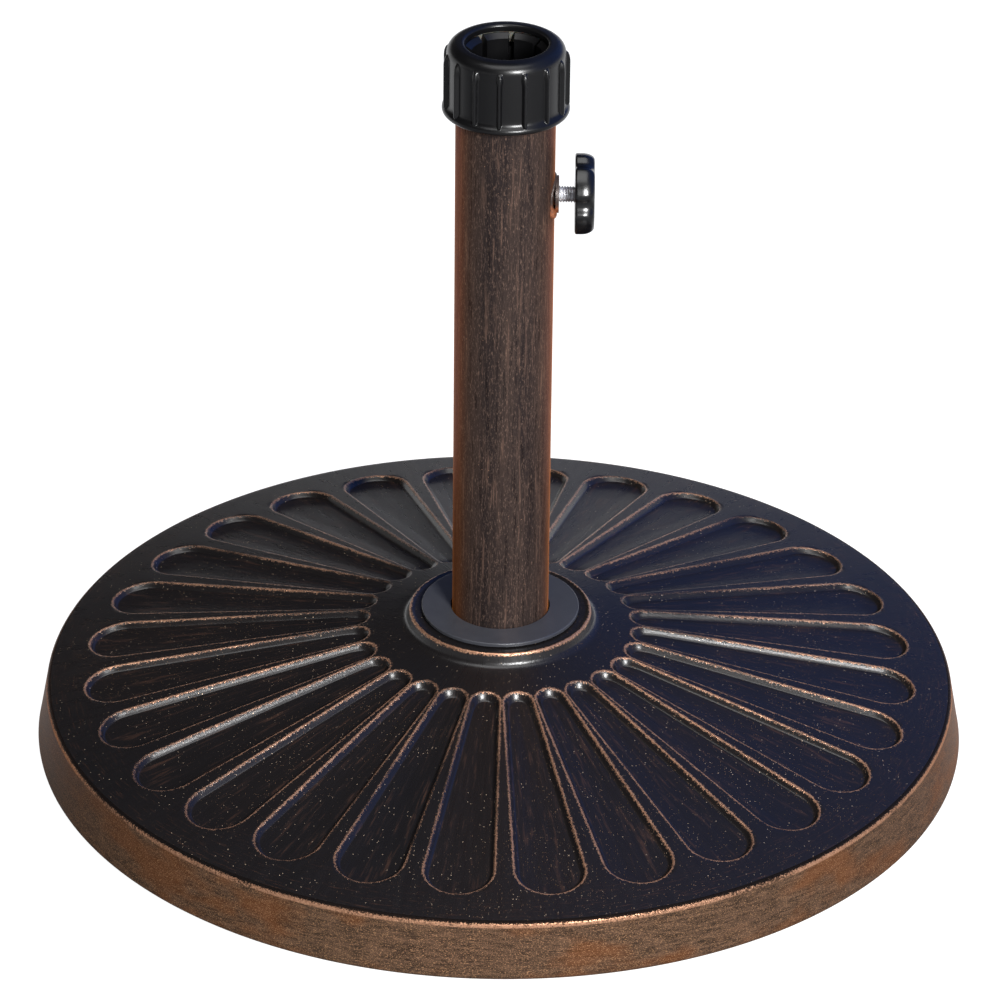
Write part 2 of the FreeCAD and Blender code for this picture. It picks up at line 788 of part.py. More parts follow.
def make_collar_screws():
    """Countersunk screws that pin the collar to the tube, all alike."""
    screws = []
    for index in range(int(dims.collar_screw_count.value)):
        screw = document.addObject("PartDesign::Body", f"collar_screw_{index + 1}")
        turned(screw, [
            (0, dims.collar_screw_start),
            (dims.collar_screw_radius, dims.collar_screw_start),
            (dims.collar_screw_radius, dims.collar_screw_head_back),
            (dims.collar_screw_head_radius, dims.collar_screw_head_front),
            (0, dims.collar_screw_head_front),
        ])
        angle = 360.0 * index / dims.collar_screw_count.value
        lay_along_x(screw, dims.collar_screw_height)
        turn = FreeCAD.Rotation(FreeCAD.Vector(0, 0, 1), angle)
        screw.Placement = FreeCAD.Placement(screw.Placement.Base, turn * screw.Placement.Rotation)
        screws.append(screw)
    return group_of("collar_screws", screws)


def make_pole_sleeve():
    """The sleeve that takes the pole: a funnel mouth, a conical head and slits that let it close."""
    body = new_body("pole_sleeve")
    turned(body, [
        (dims.sleeve_bore_radius, dims.sleeve_bottom),
        (dims.sleeve_radius, dims.sleeve_bottom),
        (dims.sleeve_radius, dims.sleeve_head_bottom),
        (dims.sleeve_head_radius, dims.sleeve_head_bottom),
        (dims.sleeve_crest_radius, dims.sleeve_top),
        (dims.sleeve_mouth_radius, dims.sleeve_top),
        (dims.sleeve_bore_radius, dims.sleeve_bore_top),
    ])
    slit = new_sketch(body, "sleeve_slit", "YZ_Plane")
    half = dims.sleeve_slit_width / 2
    above = dims.sleeve_top + CLEAR_CUT
    draw_outline(slit, [
        (half * -1, dims.sleeve_slit_bottom), (half, dims.sleeve_slit_bottom), (half, above), (half * -1, above),
    ])
    pocket = cut_pocket(body, slit, dims.base_radius, reverse=True)
    repeat_around(body, pocket, dims.sleeve_slit_count)
    body.Placement = FreeCAD.Placement(
        FreeCAD.Vector(0, 0, 0),
        FreeCAD.Rotation(FreeCAD.Vector(0, 0, 1), dims.sleeve_slit_phase.value),
    )
    return body


def head_radius_at(height):
    """The radius of the sleeve's conical head at a height, plus the wedge ring's gap."""
    taper = (dims.sleeve_head_radius - dims.sleeve_crest_radius) / (dims.sleeve_top - dims.sleeve_head_bottom)
    return dims.sleeve_crest_radius + taper * (dims.sleeve_top - height) + dims.wedge_gap


def make_wedge_ring():
    """The ring under the cap's ceiling; its inner cone closes the sleeve's slit head on the pole."""
    body = new_body("wedge_ring")
    turned(body, [
        (head_radius_at(dims.wedge_bottom), dims.wedge_bottom),
        (dims.wedge_outer, dims.wedge_bottom),
        (dims.wedge_outer, dims.wedge_top),
        (head_radius_at(dims.wedge_top), dims.wedge_top),
    ])
    return body


def make_twist_cap():
    """The ribbed cap that screws down on the collar."""
    body = new_body("twist_cap")
    hem_top = dims.cap_bottom + dims.cap_hem_height
    turned(body, [
        (dims.cap_thread_radius, dims.cap_bottom),
        (dims.cap_hem_radius, dims.cap_bottom),
        (dims.cap_hem_radius, hem_top),
        (dims.cap_body_radius, hem_top + dims.cap_hem_slope),
        (dims.cap_body_radius, dims.cap_top),
        (dims.cap_mouth_radius, dims.cap_top),
        (dims.cap_mouth_radius, dims.cap_ceiling),
        (dims.cap_thread_radius, dims.cap_ceiling),
    ])
    round_ring(body, dims.cap_body_radius, dims.cap_top, dims.cap_shoulder_round)
    round_ring(body, dims.cap_mouth_radius, dims.cap_top, dims.cap_mouth_round)
    round_ring(body, dims.cap_hem_radius, dims.cap_bottom, dims.cap_hem_round)
    rib = new_sketch(body, "cap_rib")
    draw_outline(rib, [
        (dims.cap_rib_root, dims.cap_bottom + dims.cap_hem_round),
        (dims.cap_rib_radius, dims.cap_bottom + dims.cap_hem_round),
        (dims.cap_rib_radius, dims.cap_rib_top - dims.cap_rib_slope),
        (dims.cap_body_radius, dims.cap_rib_top),
        (dims.cap_rib_root, dims.cap_rib_top),
    ])
    pad = body.newObject("PartDesign::Pad", "cap_rib_pad")
    pad.Profile = rib
    pad.Type = "Length"
    pad.Midplane = True
    bind(pad, "Length", dims.cap_rib_width)
    document.recompute()
    repeat_around(body, pad, dims.cap_rib_count)
    return body


# ---------------------------------------------------------------- checks and files

def check_document():
    """Stop if any object failed to recompute."""
    for item in document.Objects:
        if {"Invalid", "Error"} & set(item.State):
            raise RuntimeError(f"{item.Name} is {item.State}")


def write_parts(parts):
    """Check each sub-part's shape and write it as parts/LABEL.step."""
    os.makedirs(PARTS_FOLDER, exist_ok=True)
    for part in parts:
        shape = part.Shape
        if shape.isNull() or not shape.isValid() or not shape.Solids:
            raise RuntimeError(f"{part.Label} has no valid solid")
        shape.exportStep(os.path.join(PARTS_FOLDER, part.Label + ".step"))
        print(f"{part.Label}: {len(shape.Solids)} solid(s), {shape.Volume / 1000.0:.2f} cm3")


dims = fill_sheet()
sub_parts = [make() for make in (
    make_base_plate,
    make_foot_pads,
    make_flange_gasket,
    make_flange_ring,
    make_tube,
    make_tube_foot_plate,
    make_foot_weld,
    make_foot_nut,
    make_anchor_washer,
    make_spring_washer,
    make_anchor_bolt,
    make_clamp_nut,
    make_nut_weld,
    make_clamp_stud,
    make_clamp_shoe,
    make_knob,
    make_knob_plug,
    make_threaded_collar,
    make_collar_screws,
    make_pole_sleeve,
    make_wedge_ring,
    make_twist_cap,
)]
document.recompute()
check_document()
write_parts(sub_parts)
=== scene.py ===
"""Parasol base: the visual model and the studio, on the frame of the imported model.

Shapes are worked out in millimetres and become metres when their mesh is made. Materials, the camera and the
lights are in metres.
"""
import json
import math

import bmesh
import bpy
import numpy as np
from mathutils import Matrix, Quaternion, Vector


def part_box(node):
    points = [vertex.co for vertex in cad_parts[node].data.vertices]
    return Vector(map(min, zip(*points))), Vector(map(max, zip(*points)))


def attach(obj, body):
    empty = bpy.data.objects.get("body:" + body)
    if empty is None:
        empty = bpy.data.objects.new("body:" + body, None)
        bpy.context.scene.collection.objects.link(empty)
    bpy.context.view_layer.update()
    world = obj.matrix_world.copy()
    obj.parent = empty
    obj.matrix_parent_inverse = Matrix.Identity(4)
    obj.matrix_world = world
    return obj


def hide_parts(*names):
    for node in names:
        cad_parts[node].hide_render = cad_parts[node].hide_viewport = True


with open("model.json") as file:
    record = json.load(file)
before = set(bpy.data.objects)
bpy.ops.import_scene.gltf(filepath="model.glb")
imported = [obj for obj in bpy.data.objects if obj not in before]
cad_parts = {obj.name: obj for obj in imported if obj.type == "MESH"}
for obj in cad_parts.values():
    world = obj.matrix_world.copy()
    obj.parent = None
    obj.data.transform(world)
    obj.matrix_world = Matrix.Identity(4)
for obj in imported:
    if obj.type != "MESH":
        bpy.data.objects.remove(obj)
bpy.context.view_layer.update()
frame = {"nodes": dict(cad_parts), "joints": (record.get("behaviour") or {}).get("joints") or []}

MM = 0.001
FAR = 9.0  # the flute distance given to points that lie on no flute
NODES = frame["nodes"]


# ---------------------------------------------------------------- meshes


def grid_faces(rows, columns, loop):
    """Quads of a grid whose columns run all the way round, and whose rows do too if loop is true."""
    row, column = np.meshgrid(np.arange(rows if loop else rows - 1), np.arange(columns), indexing="ij")
    next_row = (row + 1) % rows
    next_column = (column + 1) % columns
    corners = [
        row * columns + column,
        row * columns + next_column,
        next_row * columns + next_column,
        next_row * columns + column,
    ]
    return np.stack(corners, axis=-1).reshape(-1, 4)


def new_piece(name, points, faces):
    """A smooth-shaded object from points in millimetres."""
    mesh = bpy.data.meshes.new(name)
    mesh.from_pydata((points.reshape(-1, 3) * MM).tolist(), [], faces)
    mesh.validate()
    solid = bmesh.new()
    solid.from_mesh(mesh)
    bmesh.ops.recalc_face_normals(solid, faces=solid.faces)
    solid.to_mesh(mesh)
    solid.free()
    mesh.shade_smooth()
    piece = bpy.data.objects.new(name, mesh)
    bpy.context.scene.collection.objects.link(piece)
    return piece


def ring_piece(name, points):
    """A closed piece like a tyre: its rows go round the section, and its columns round the axis."""
    rows, columns = points.shape[:2]
    return new_piece(name, points, grid_faces(rows, columns, loop=True).tolist())


def plugged_piece(name, points):
    """A closed piece like a pin: its first and last rows are closed with a flat end."""
    rows, columns = points.shape[:2]
    faces = grid_faces(rows, columns, loop=False).tolist()
    faces.append(list(range(columns))[::-1])
    faces.append([(rows - 1) * columns + column for column in range(columns)])
    return new_piece(name, points, faces)


def round_angles(count):
    """Evenly spaced angles, once round."""
    return np.linspace(0, 2 * math.pi, count, endpoint=False)


def around_z(radius, angle, height):
    """Points at a radius, angle and height about the Z axis, all arrays of one shape."""
    return np.stack([radius * np.cos(angle), radius * np.sin(angle), height], axis=-1)


def around_screw(radius, angle, along):
    """Points about the thumb screw's axis. The angle runs from +Y towards +Z."""
    return np.stack([along, radius * np.cos(angle), SCREW_HEIGHT + radius * np.sin(angle)], axis=-1)


def screw_rows(rows, angles):
    """Points about the screw's axis from rows of (radius, or one for each angle; place along the axis)."""
    radius = np.array([np.broadcast_to(row_radius, len(angles)) for row_radius, _ in rows])
    along = np.array([np.full(len(angles), row_place) for _, row_place in rows])
    return around_screw(radius, angles[None, :], along)


def arc(centre, radius, start, end, steps):
    """Section points on an arc, from one angle in degrees to another."""
    angles = np.radians(np.linspace(start, end, steps))
    return [(centre[0] + radius * math.cos(a), centre[1] + radius * math.sin(a)) for a in angles]


def line(start, end, steps):
    """Section points on a straight run, without its last point."""
    return [tuple(p) for p in np.linspace(start, end, steps + 1)[:-1]]


def bend(start, corner, end, steps):
    """Section points on a smooth bend that leaves start and reaches end along the corner's two sides."""
    t = np.linspace(0, 1, steps)[:, None]
    path = (1 - t) ** 2 * np.array(start) + 2 * t * (1 - t) * np.array(corner) + t**2 * np.array(end)
    return [tuple(p) for p in path]


def smooth_step(value, low, high):
    """0 below low, 1 above high, and a smooth rise between."""
    t = np.clip((value - low) / (high - low), 0, 1)
    return t * t * (3 - 2 * t)


def spread(knots, counts):
    """Positions from one knot to the next, with that many steps in each run, without the last knot."""
    runs = [np.linspace(a, b, n, endpoint=False) for a, b, n in zip(knots, knots[1:], counts)]
    return np.concatenate(runs)


# ---------------------------------------------------------------- sizes read from the frame

low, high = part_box("base_plate")
PLATE_RADIUS = high.x / MM
PLATE_BOTTOM = low.z / MM
low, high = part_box("twist_cap")
CAP_BOTTOM = low.z / MM
CAP_TOP = high.z / MM
low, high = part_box("knob")
KNOB_BACK = low.x / MM
KNOB_FRONT = high.x / MM
low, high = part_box("clamp_stud")
STUD_TIP = low.x / MM
STUD_END = high.x / MM
low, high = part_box("tube")
TUBE_RADIUS = high.x / MM
screw_joint = next(joint for joint in frame["joints"] if joint["name"] == "clamp_turn")
SCREW_HEIGHT = screw_joint["pos_m"][2] / MM


# ---------------------------------------------------------------- plate

RIM_RADIUS = 224.1
RIM_HEIGHT = 30.2
RIM_ROUND = 2.5
ROUND_START = 221.35  # where the crown runs into the rim's rounded edge
FOOT_ROUND = 1.5
CROWN_RADIUS = 50.0
CROWN_HEIGHT = 60.4
SLOPE = math.atan((CROWN_HEIGHT - RIM_HEIGHT) / (RIM_RADIUS - CROWN_RADIUS))
LAND_RADIUS = 41.6
LAND_HEIGHT = 66.8
BEAD_RADIUS = 44.3
BOSS_FOOT = 49.7
SEAT_RADIUS = 24.0
SEAT_FLOOR = 34.0
BOLT_HOLE = 5.5
WELL_RADIUS = 33.0
WELL_CEILING = 18.0
HUB_RADIUS = 56.0
HOLLOW_RADIUS = 199.0
HOLLOW_CEILING = 14.0
HOLLOW_DRAFT = 5.0
EASE = 0.4  # how far the underside's corners are set back
FLUTES = 28
FLUTE_PHASE = math.radians(7.45)
FLUTE_START = 65.0
FLUTE_END = 205.0
FLUTE_INNER_ROUND = 7.2
FLUTE_OUTER_ROUND = 16.5
FLUTE_INNER = FLUTE_START / math.cos(SLOPE) + FLUTE_INNER_ROUND
FLUTE_OUTER = FLUTE_END / math.cos(SLOPE) - FLUTE_OUTER_ROUND
FLUTE_DEPTH = 3.0
FLUTE_DISH = 0.35  # the part of the depth that lies in the floor's hollow
FLUTE_BOWL = 0.5  # how much deeper the inner ends are
WALL_START = 0.45  # how far outside the outline a flute's wall starts
WALL_END = 2.55  # how far inside the outline it ends
HALF_PITCH = math.pi / FLUTES


def crown_height(radius):
    """Height of the crown before its flutes are sunk."""
    return CROWN_HEIGHT - (radius - CROWN_RADIUS) * math.tan(SLOPE)


def flute_distance(radius, offset):
    """Distance outside a flute's outline, negative inside it: two circles and the lines that touch both."""
    along = radius * np.cos(offset) / math.cos(SLOPE) - FLUTE_INNER
    across = np.abs(radius * np.sin(offset))
    length = FLUTE_OUTER - FLUTE_INNER
    lean = (FLUTE_INNER_ROUND - FLUTE_OUTER_ROUND) / length
    square = math.sqrt(1 - lean * lean)
    place = along * square - across * lean
    inner = np.hypot(across, along) - FLUTE_INNER_ROUND
    outer = np.hypot(across, along - length) - FLUTE_OUTER_ROUND
    side = across * square + along * lean - FLUTE_INNER_ROUND
    return np.where(place < 0, inner, np.where(place > square * length, outer, side))


def flute_half_width(radius):
    """Half a flute's width at this radius. Past the centre of a round end it follows the round in part."""
    along = radius / math.cos(SLOPE)
    middle = np.clip(along, FLUTE_INNER, FLUTE_OUTER)
    share = (middle - FLUTE_INNER) / (FLUTE_OUTER - FLUTE_INNER)
    width = FLUTE_INNER_ROUND + share * (FLUTE_OUTER_ROUND - FLUTE_INNER_ROUND)
    past = np.minimum(np.abs(along - middle) / width, 0.85)
    return width * np.sqrt(1 - past * past)


def flute_columns(radius):
    """Angles across one flute and half the land on either side, closest together on the walls."""
    on_flute = np.clip(radius, FLUTE_START - 2.0, FLUTE_END + 2.0)
    outside_boss = np.maximum(radius, 60.0)
    edge = flute_half_width(on_flute) / on_flute
    foot = edge - (WALL_END + 0.15) / outside_boss
    top = np.minimum(edge + (WALL_START + 0.25) / outside_boss, 0.97 * HALF_PITCH)
    half = spread([0.0, foot, top, HALF_PITCH], [11, 10, 3])
    return np.concatenate([[-HALF_PITCH], -half[:0:-1], half])


def sunk_depth(distance, radius):
    """How far the surface lies under the crown at this distance from an outline. Inner ends are bowls."""
    inside = -distance
    bowl = smooth_step(-radius, -78.0, -68.0)
    wall = smooth_step(inside, -WALL_START, WALL_END + 0.55 * bowl)
    dish = smooth_step(inside, 1.5, 11.0)
    return (FLUTE_DEPTH - FLUTE_DISH + FLUTE_BOWL * bowl) * wall + FLUTE_DISH * dish


def plate_section():
    """The plate's section as a closed loop of (radius, height), and which of its points flutes may sink."""
    drop = math.degrees(SLOPE)
    # The tube's seat, the land round it, the bead on the land's edge, and the flank with its soft foot.
    boss = (
        line((SEAT_RADIUS, SEAT_FLOOR), (SEAT_RADIUS, LAND_HEIGHT - 0.5), 6)
        + arc((SEAT_RADIUS + 0.5, LAND_HEIGHT - 0.5), 0.5, 180, 90, 4)
        + line((SEAT_RADIUS + 1.5, LAND_HEIGHT), (LAND_RADIUS, LAND_HEIGHT), 6)
        + bend((LAND_RADIUS, LAND_HEIGHT), (LAND_RADIUS + 0.6, LAND_HEIGHT), (42.9, 67.05), 4)
        + bend((43.2, 67.15), (BEAD_RADIUS, 67.6), (44.85, 66.2), 8)
        + line((44.95, 65.9), (45.9, 63.1), 4)
        + bend((45.9, 63.1), (46.75, 60.9), (BOSS_FOOT, crown_height(BOSS_FOOT)), 12)
        + [(BOSS_FOOT + 1.0, crown_height(BOSS_FOOT + 1.0))]
    )
    # The rings of points are closest together at the flutes' round ends.
    radii = np.concatenate([
        np.arange(51.9, 62.5, 1.5), np.arange(63.0, 76.0, 0.42), np.arange(76.5, 186.0, 2.2),
        np.arange(187.0, 207.5, 0.45), np.arange(208.5, 221.0, 1.4),
    ])
    crown = [(radius, crown_height(radius)) for radius in radii]
    side_lean = math.degrees(math.atan((PLATE_RADIUS - RIM_RADIUS) / (RIM_HEIGHT - PLATE_BOTTOM)))
    edge_centre = (ROUND_START, crown_height(ROUND_START) - RIM_ROUND / math.cos(SLOPE))
    edge = arc(edge_centre, RIM_ROUND, 90 - drop, side_lean, 9)
    side_top = (edge[-1][0] + 0.1, edge[-1][1] - 0.7)
    side = line(side_top, (PLATE_RADIUS - 0.1, PLATE_BOTTOM + FOOT_ROUND + 0.1), 12)
    near_floor = PLATE_BOTTOM + EASE
    hollow_outer = HOLLOW_RADIUS - HOLLOW_DRAFT
    hollow_inner = HUB_RADIUS + HOLLOW_DRAFT
    # The foot, the ring-shaped hollow with its drafted walls, the hub, the bolt's well and its hole.
    under = (
        arc((PLATE_RADIUS - FOOT_ROUND, PLATE_BOTTOM + FOOT_ROUND), FOOT_ROUND, 0, -90, 6)
        + line((HOLLOW_RADIUS + 27.0, PLATE_BOTTOM), (HOLLOW_RADIUS + 0.5, PLATE_BOTTOM), 4)
        + line((HOLLOW_RADIUS, near_floor), (hollow_outer + EASE, HOLLOW_CEILING - EASE), 4)
        + line((hollow_outer - EASE, HOLLOW_CEILING), (hollow_inner + EASE, HOLLOW_CEILING), 18)
        + line((hollow_inner - EASE, HOLLOW_CEILING - EASE), (HUB_RADIUS + EASE, near_floor), 4)
        + line((HUB_RADIUS - 0.2, PLATE_BOTTOM), (WELL_RADIUS + EASE, PLATE_BOTTOM), 5)
        + line((WELL_RADIUS, near_floor), (WELL_RADIUS, WELL_CEILING - EASE), 4)
        + line((WELL_RADIUS - EASE, WELL_CEILING), (BOLT_HOLE + 0.5, WELL_CEILING), 6)
        + line((BOLT_HOLE, WELL_CEILING + EASE), (BOLT_HOLE, SEAT_FLOOR - EASE), 4)
        + line((BOLT_HOLE + EASE, SEAT_FLOOR), (SEAT_RADIUS - EASE, SEAT_FLOOR), 5)
    )
    section = np.array(boss + crown + edge + side + under)
    fluted = np.zeros(len(section), bool)
    fluted[len(boss): len(boss) + len(crown)] = True
    return section, fluted


def make_plate():
    """The cast plate: boss, sloping crown with its sunk flutes, drafted rim and hollow underside."""
    section, fluted = plate_section()
    offsets = np.array([flute_columns(radius) for radius in section[:, 0]])
    starts = FLUTE_PHASE + np.arange(FLUTES) * 2 * HALF_PITCH
    angles = (offsets[:, None, :] + starts[None, :, None]).reshape(len(section), -1)
    radius = np.repeat(section[:, :1], angles.shape[1], axis=1)
    height = np.repeat(section[:, 1:], angles.shape[1], axis=1)
    distance = flute_distance(radius, np.tile(offsets, (1, FLUTES)))
    distance = np.where(fluted[:, None], distance, FAR)
    points = around_z(radius, angles, height - sunk_depth(distance, radius))
    plate = ring_piece("worn_plate", points)
    worn = plate.data.attributes.new("flute_distance", "FLOAT", "POINT")
    worn.data.foreach_set("value", np.clip(distance, -FAR, FAR).astype(np.float32).ravel())
    on_rim = np.arange(len(section)) > np.flatnonzero(fluted).max()
    plate.data.materials.append(crown_bronze())
    plate.data.materials.append(rim_bronze())
    plate.data.polygons.foreach_set("material_index", np.repeat(on_rim.astype(np.int32), angles.shape[1]))
    return plate


# ---------------------------------------------------------------- twist cap

CAP_BODY = 27.9
CAP_THREAD = 26.35
CAP_MOUTH = 19.5
CAP_CEILING = 367.9
CAP_LIP = 1.25
CAP_SHOULDER = 5.2
CAP_WALL_TOP = 366.1
HEM_TOP = 342.6
HEM_RADIUS = 30.0
HEM_ROUND = 1.3
CAP_RIBS = 15
RIB_PITCH = 2 * math.pi / CAP_RIBS
RIB_HEIGHT = 1.95
RIB_CREST = 0.25  # half the rib's width where it is highest
RIB_FOOT = 1.45  # half the rib's width at the wall
RIB_START = 338.2
RIB_FULL = 341.0  # the height from which the rib stands out in full
RIB_DOME = 361.8  # the height where its upper end starts to round off
DOME_LENGTH = 5.4
DROP_HEIGHT = 364.2  # the height where its end is widest
DROP_SPREAD = 1.8


def rib_rise(angle, height):
    """How far a rib stands out of the cap's wall: narrow, with a domed drop-shaped upper end."""
    across = np.abs((angle + RIB_PITCH / 2) % RIB_PITCH - RIB_PITCH / 2) * CAP_BODY
    end = np.clip((height - RIB_DOME) / DOME_LENGTH, 0, 1)
    dome = np.sqrt(1 - end * end)
    swell = 1 + 0.45 * np.exp(-(((height - DROP_HEIGHT) / DROP_SPREAD) ** 2))
    ridge = 1 - smooth_step(across, RIB_CREST * swell, RIB_FOOT * swell)
    return RIB_HEIGHT * ridge * dome * smooth_step(height, RIB_START, RIB_FULL)


def cap_section():
    """The cap's section as a closed loop of (radius, height), from the thread up, over the top and down."""
    return np.array(
        line((CAP_THREAD, CAP_BOTTOM + 0.7), (CAP_THREAD, CAP_CEILING), 12)
        + line((CAP_THREAD - 0.3, CAP_CEILING), (CAP_MOUTH + 0.3, CAP_CEILING), 5)
        + line((CAP_MOUTH, CAP_CEILING + 0.3), (CAP_MOUTH, CAP_TOP - CAP_LIP - 0.05), 5)
        + arc((CAP_MOUTH + CAP_LIP, CAP_TOP - CAP_LIP), CAP_LIP, 180, 90, 9)
        + line((CAP_MOUTH + CAP_LIP + 0.45, CAP_TOP), (CAP_BODY - CAP_SHOULDER - 0.1, CAP_TOP - 0.06), 3)
        + arc((CAP_BODY - CAP_SHOULDER, CAP_TOP - CAP_SHOULDER - 0.1), CAP_SHOULDER, 88, 0, 26)
        + line((CAP_BODY, CAP_WALL_TOP), (CAP_BODY, RIB_DOME - 0.4), 14)
        + line((CAP_BODY, RIB_DOME - 0.4), (CAP_BODY, HEM_TOP), 14)
        + bend((CAP_BODY, HEM_TOP), (CAP_BODY + 0.1, 341.4), (28.9, 340.4), 7)
        + bend((29.1, 340.2), (HEM_RADIUS - 0.05, 339.5), (HEM_RADIUS, 338.7), 6)
        + arc((HEM_RADIUS - HEM_ROUND, CAP_BOTTOM + HEM_ROUND), HEM_ROUND, -3, -90, 8)
        + line((HEM_RADIUS - HEM_ROUND - 0.3, CAP_BOTTOM), (CAP_THREAD + 0.6, CAP_BOTTOM), 2)
    )


def make_cap():
    """The black twist cap, with its grip ribs running down to the hem."""
    section = cap_section()
    half = spread([0.0, 0.6 / CAP_BODY, 2.2 / CAP_BODY, RIB_PITCH / 2], [4, 12, 7])
    within = np.concatenate([[-RIB_PITCH / 2], -half[:0:-1], half])
    angles = (within[None, :] + np.arange(CAP_RIBS)[:, None] * RIB_PITCH).ravel()
    radius = np.repeat(section[:, :1], len(angles), axis=1)
    height = np.repeat(section[:, 1:], len(angles), axis=1)
    angle = np.repeat(angles[None, :], len(section), axis=0)
    wall = smooth_step(radius, CAP_THREAD + 0.3, CAP_BODY - 0.2)
    rise = np.where(height > CAP_BOTTOM + 1.5, rib_rise(angle, height) * wall, 0.0)
    hem_flare = np.maximum(radius - CAP_BODY, 0)
    outward = np.maximum(radius + rise - hem_flare * (rise > 0), radius)
    return ring_piece("ribbed_cap", around_z(outward, angle, height))


# ---------------------------------------------------------------- thumb screw

KNOB_RADIUS = 19.5
KNOB_VALLEYS = 5
VALLEY_CIRCLE = 21.3
VALLEY_ROUND = 4.2
VALLEY_PHASE = math.radians(173.3)
LOBE_BLEND = 2.2
QUARTER_TURN = 1.57
BACK_ROUND = 0.9
FRONT_ROUND = 3.0
FRONT_LENGTH = 6.0
SCREW_BORE = 4.1
HEAD_POCKET = 7.7
HEAD_BACK = 37.0
PLUG_SEAT = 8.6
PLUG_BACK = 40.0
THREAD_PITCH = 1.25
THREAD_ROOT = 3.3
THREAD_DEPTH = 0.7
THREAD_START = 22.4
THREAD_STEP = 0.08  # between two rows of points along the thread
PIN_RADIUS = 1.8
HEAD_FLAT = 6.5  # from the screw's axis to a flat of its hexagon head


def knob_outline(angles, inset):
    """The knob's radius at each angle, with its outline moved inwards by the inset: found by halving."""
    near = np.full(len(angles), 6.0)
    far = np.full(len(angles), KNOB_RADIUS + 1.0)
    pitch = 2 * math.pi / KNOB_VALLEYS
    offset = (angles - VALLEY_PHASE + pitch / 2) % pitch - pitch / 2
    for _ in range(30):
        middle = (near + far) / 2
        disc = middle - KNOB_RADIUS
        valley = VALLEY_ROUND - np.hypot(middle * np.cos(offset) - VALLEY_CIRCLE, middle * np.sin(offset))
        mixed = np.maximum(LOBE_BLEND - np.abs(disc - valley), 0) ** 2 / (4 * LOBE_BLEND)
        outside = np.maximum(disc, valley) + mixed > -inset
        far = np.where(outside, middle, far)
        near = np.where(outside, near, middle)
    return (near + far) / 2


def knob_skin():
    """The knob's skin from back to front, in pairs of its inset from the outline and its place."""
    back = [
        (BACK_ROUND * (1 - math.sin(a)), KNOB_BACK + BACK_ROUND * (1 - math.cos(a)))
        for a in np.linspace(0, QUARTER_TURN, 6)
    ]
    side = [(0.0, along) for along in np.linspace(KNOB_BACK + 1.3, KNOB_FRONT - FRONT_LENGTH - 0.4, 4)]
    front = [
        (FRONT_ROUND * (1 - math.cos(a)), KNOB_FRONT - FRONT_LENGTH * (1 - math.sin(a)))
        for a in np.linspace(0, QUARTER_TURN, 18)
    ]
    return [(3.0, KNOB_BACK), (1.4, KNOB_BACK)] + back + side + front


def make_knob():
    """The five-lobed knob, with a seat for its plug and a pocket for the screw's head."""
    angles = round_angles(240)
    back = [(SCREW_BORE, KNOB_BACK), (9.0, KNOB_BACK)]
    skin = [(knob_outline(angles, inset), along) for inset, along in knob_skin()]
    seat = [
        (10.0, KNOB_FRONT), (PLUG_SEAT + 0.5, KNOB_FRONT),
        (PLUG_SEAT, KNOB_FRONT - 0.5), (PLUG_SEAT, PLUG_BACK),
    ]
    pocket = [(HEAD_POCKET, PLUG_BACK), (HEAD_POCKET, HEAD_BACK), (SCREW_BORE, HEAD_BACK)]
    return ring_piece("lobed_knob", screw_rows(back + skin + seat + pocket, angles))


def thread_radius(turn):
    """Radius of a metric thread at a place in its pitch, from 0 to 1."""
    crest = np.clip((0.5 - np.abs(turn - 0.5)) * 2.5 - 0.15, 0, 1)
    return THREAD_ROOT + THREAD_DEPTH * crest


def make_stud():
    """The plated screw: swivel pin, rolled thread and the hexagon head held in the knob."""
    angles = round_angles(60)
    pin_end = THREAD_START - 0.5
    pin = [
        (PIN_RADIUS / 2, STUD_TIP), (PIN_RADIUS, STUD_TIP + 0.3),
        (PIN_RADIUS, pin_end), (THREAD_ROOT - 0.4, pin_end + 0.3),
    ]
    thread = []
    for along in np.arange(THREAD_START, HEAD_BACK - 0.1, THREAD_STEP):
        turn = (along / THREAD_PITCH - angles / (2 * math.pi)) % 1.0
        lead_in = THREAD_ROOT - 0.18 + 1.2 * (along - THREAD_START)
        thread.append((np.minimum(thread_radius(turn), lead_in), along))
    hexagon = HEAD_FLAT / np.cos((angles - VALLEY_PHASE) % (math.pi / 3) - math.pi / 6)
    head = [(hexagon, HEAD_BACK), (hexagon, STUD_END - 0.4), (hexagon - 0.6, STUD_END)]
    return plugged_piece("threaded_stud", screw_rows(pin + thread + head, angles))


# ---------------------------------------------------------------- nut weld

WELD_RADIUS = 9.3
WELD_THICKNESS = 1.0
RUN_TURN = math.radians(220)
RUN_SPREAD = 0.3
RUN_THICKNESS = 1.6


def make_weld():
    """The weld bead that joins the clamp nut to the tube, with a run at its lower front."""
    turns = round_angles(160)
    section = round_angles(14)
    random = np.random.default_rng(7)
    waves = sum(
        random.uniform(0.03, 0.09) * np.sin(count * turns + random.uniform(0, 6.28))
        for count in (3, 5, 9, 14)
    )
    run = np.exp(-(((turns - RUN_TURN) / RUN_SPREAD) ** 2))
    thick = WELD_THICKNESS * (1 + waves + 0.05 * np.sin(34 * turns)) + RUN_THICKNESS * run
    across = WELD_RADIUS + 0.35 * run
    ring = across + thick * np.cos(section)[:, None]
    sideways = ring * np.cos(turns)
    on_tube = np.sqrt(TUBE_RADIUS**2 - (across * np.cos(turns)) ** 2)
    along = on_tube + 0.1 + thick * np.sin(section)[:, None] * 0.8
    points = np.stack([along, sideways, SCREW_HEIGHT + ring * np.sin(turns) - 0.5 * run], axis=-1)
    return ring_piece("weld_bead", points)


# ---------------------------------------------------------------- materials


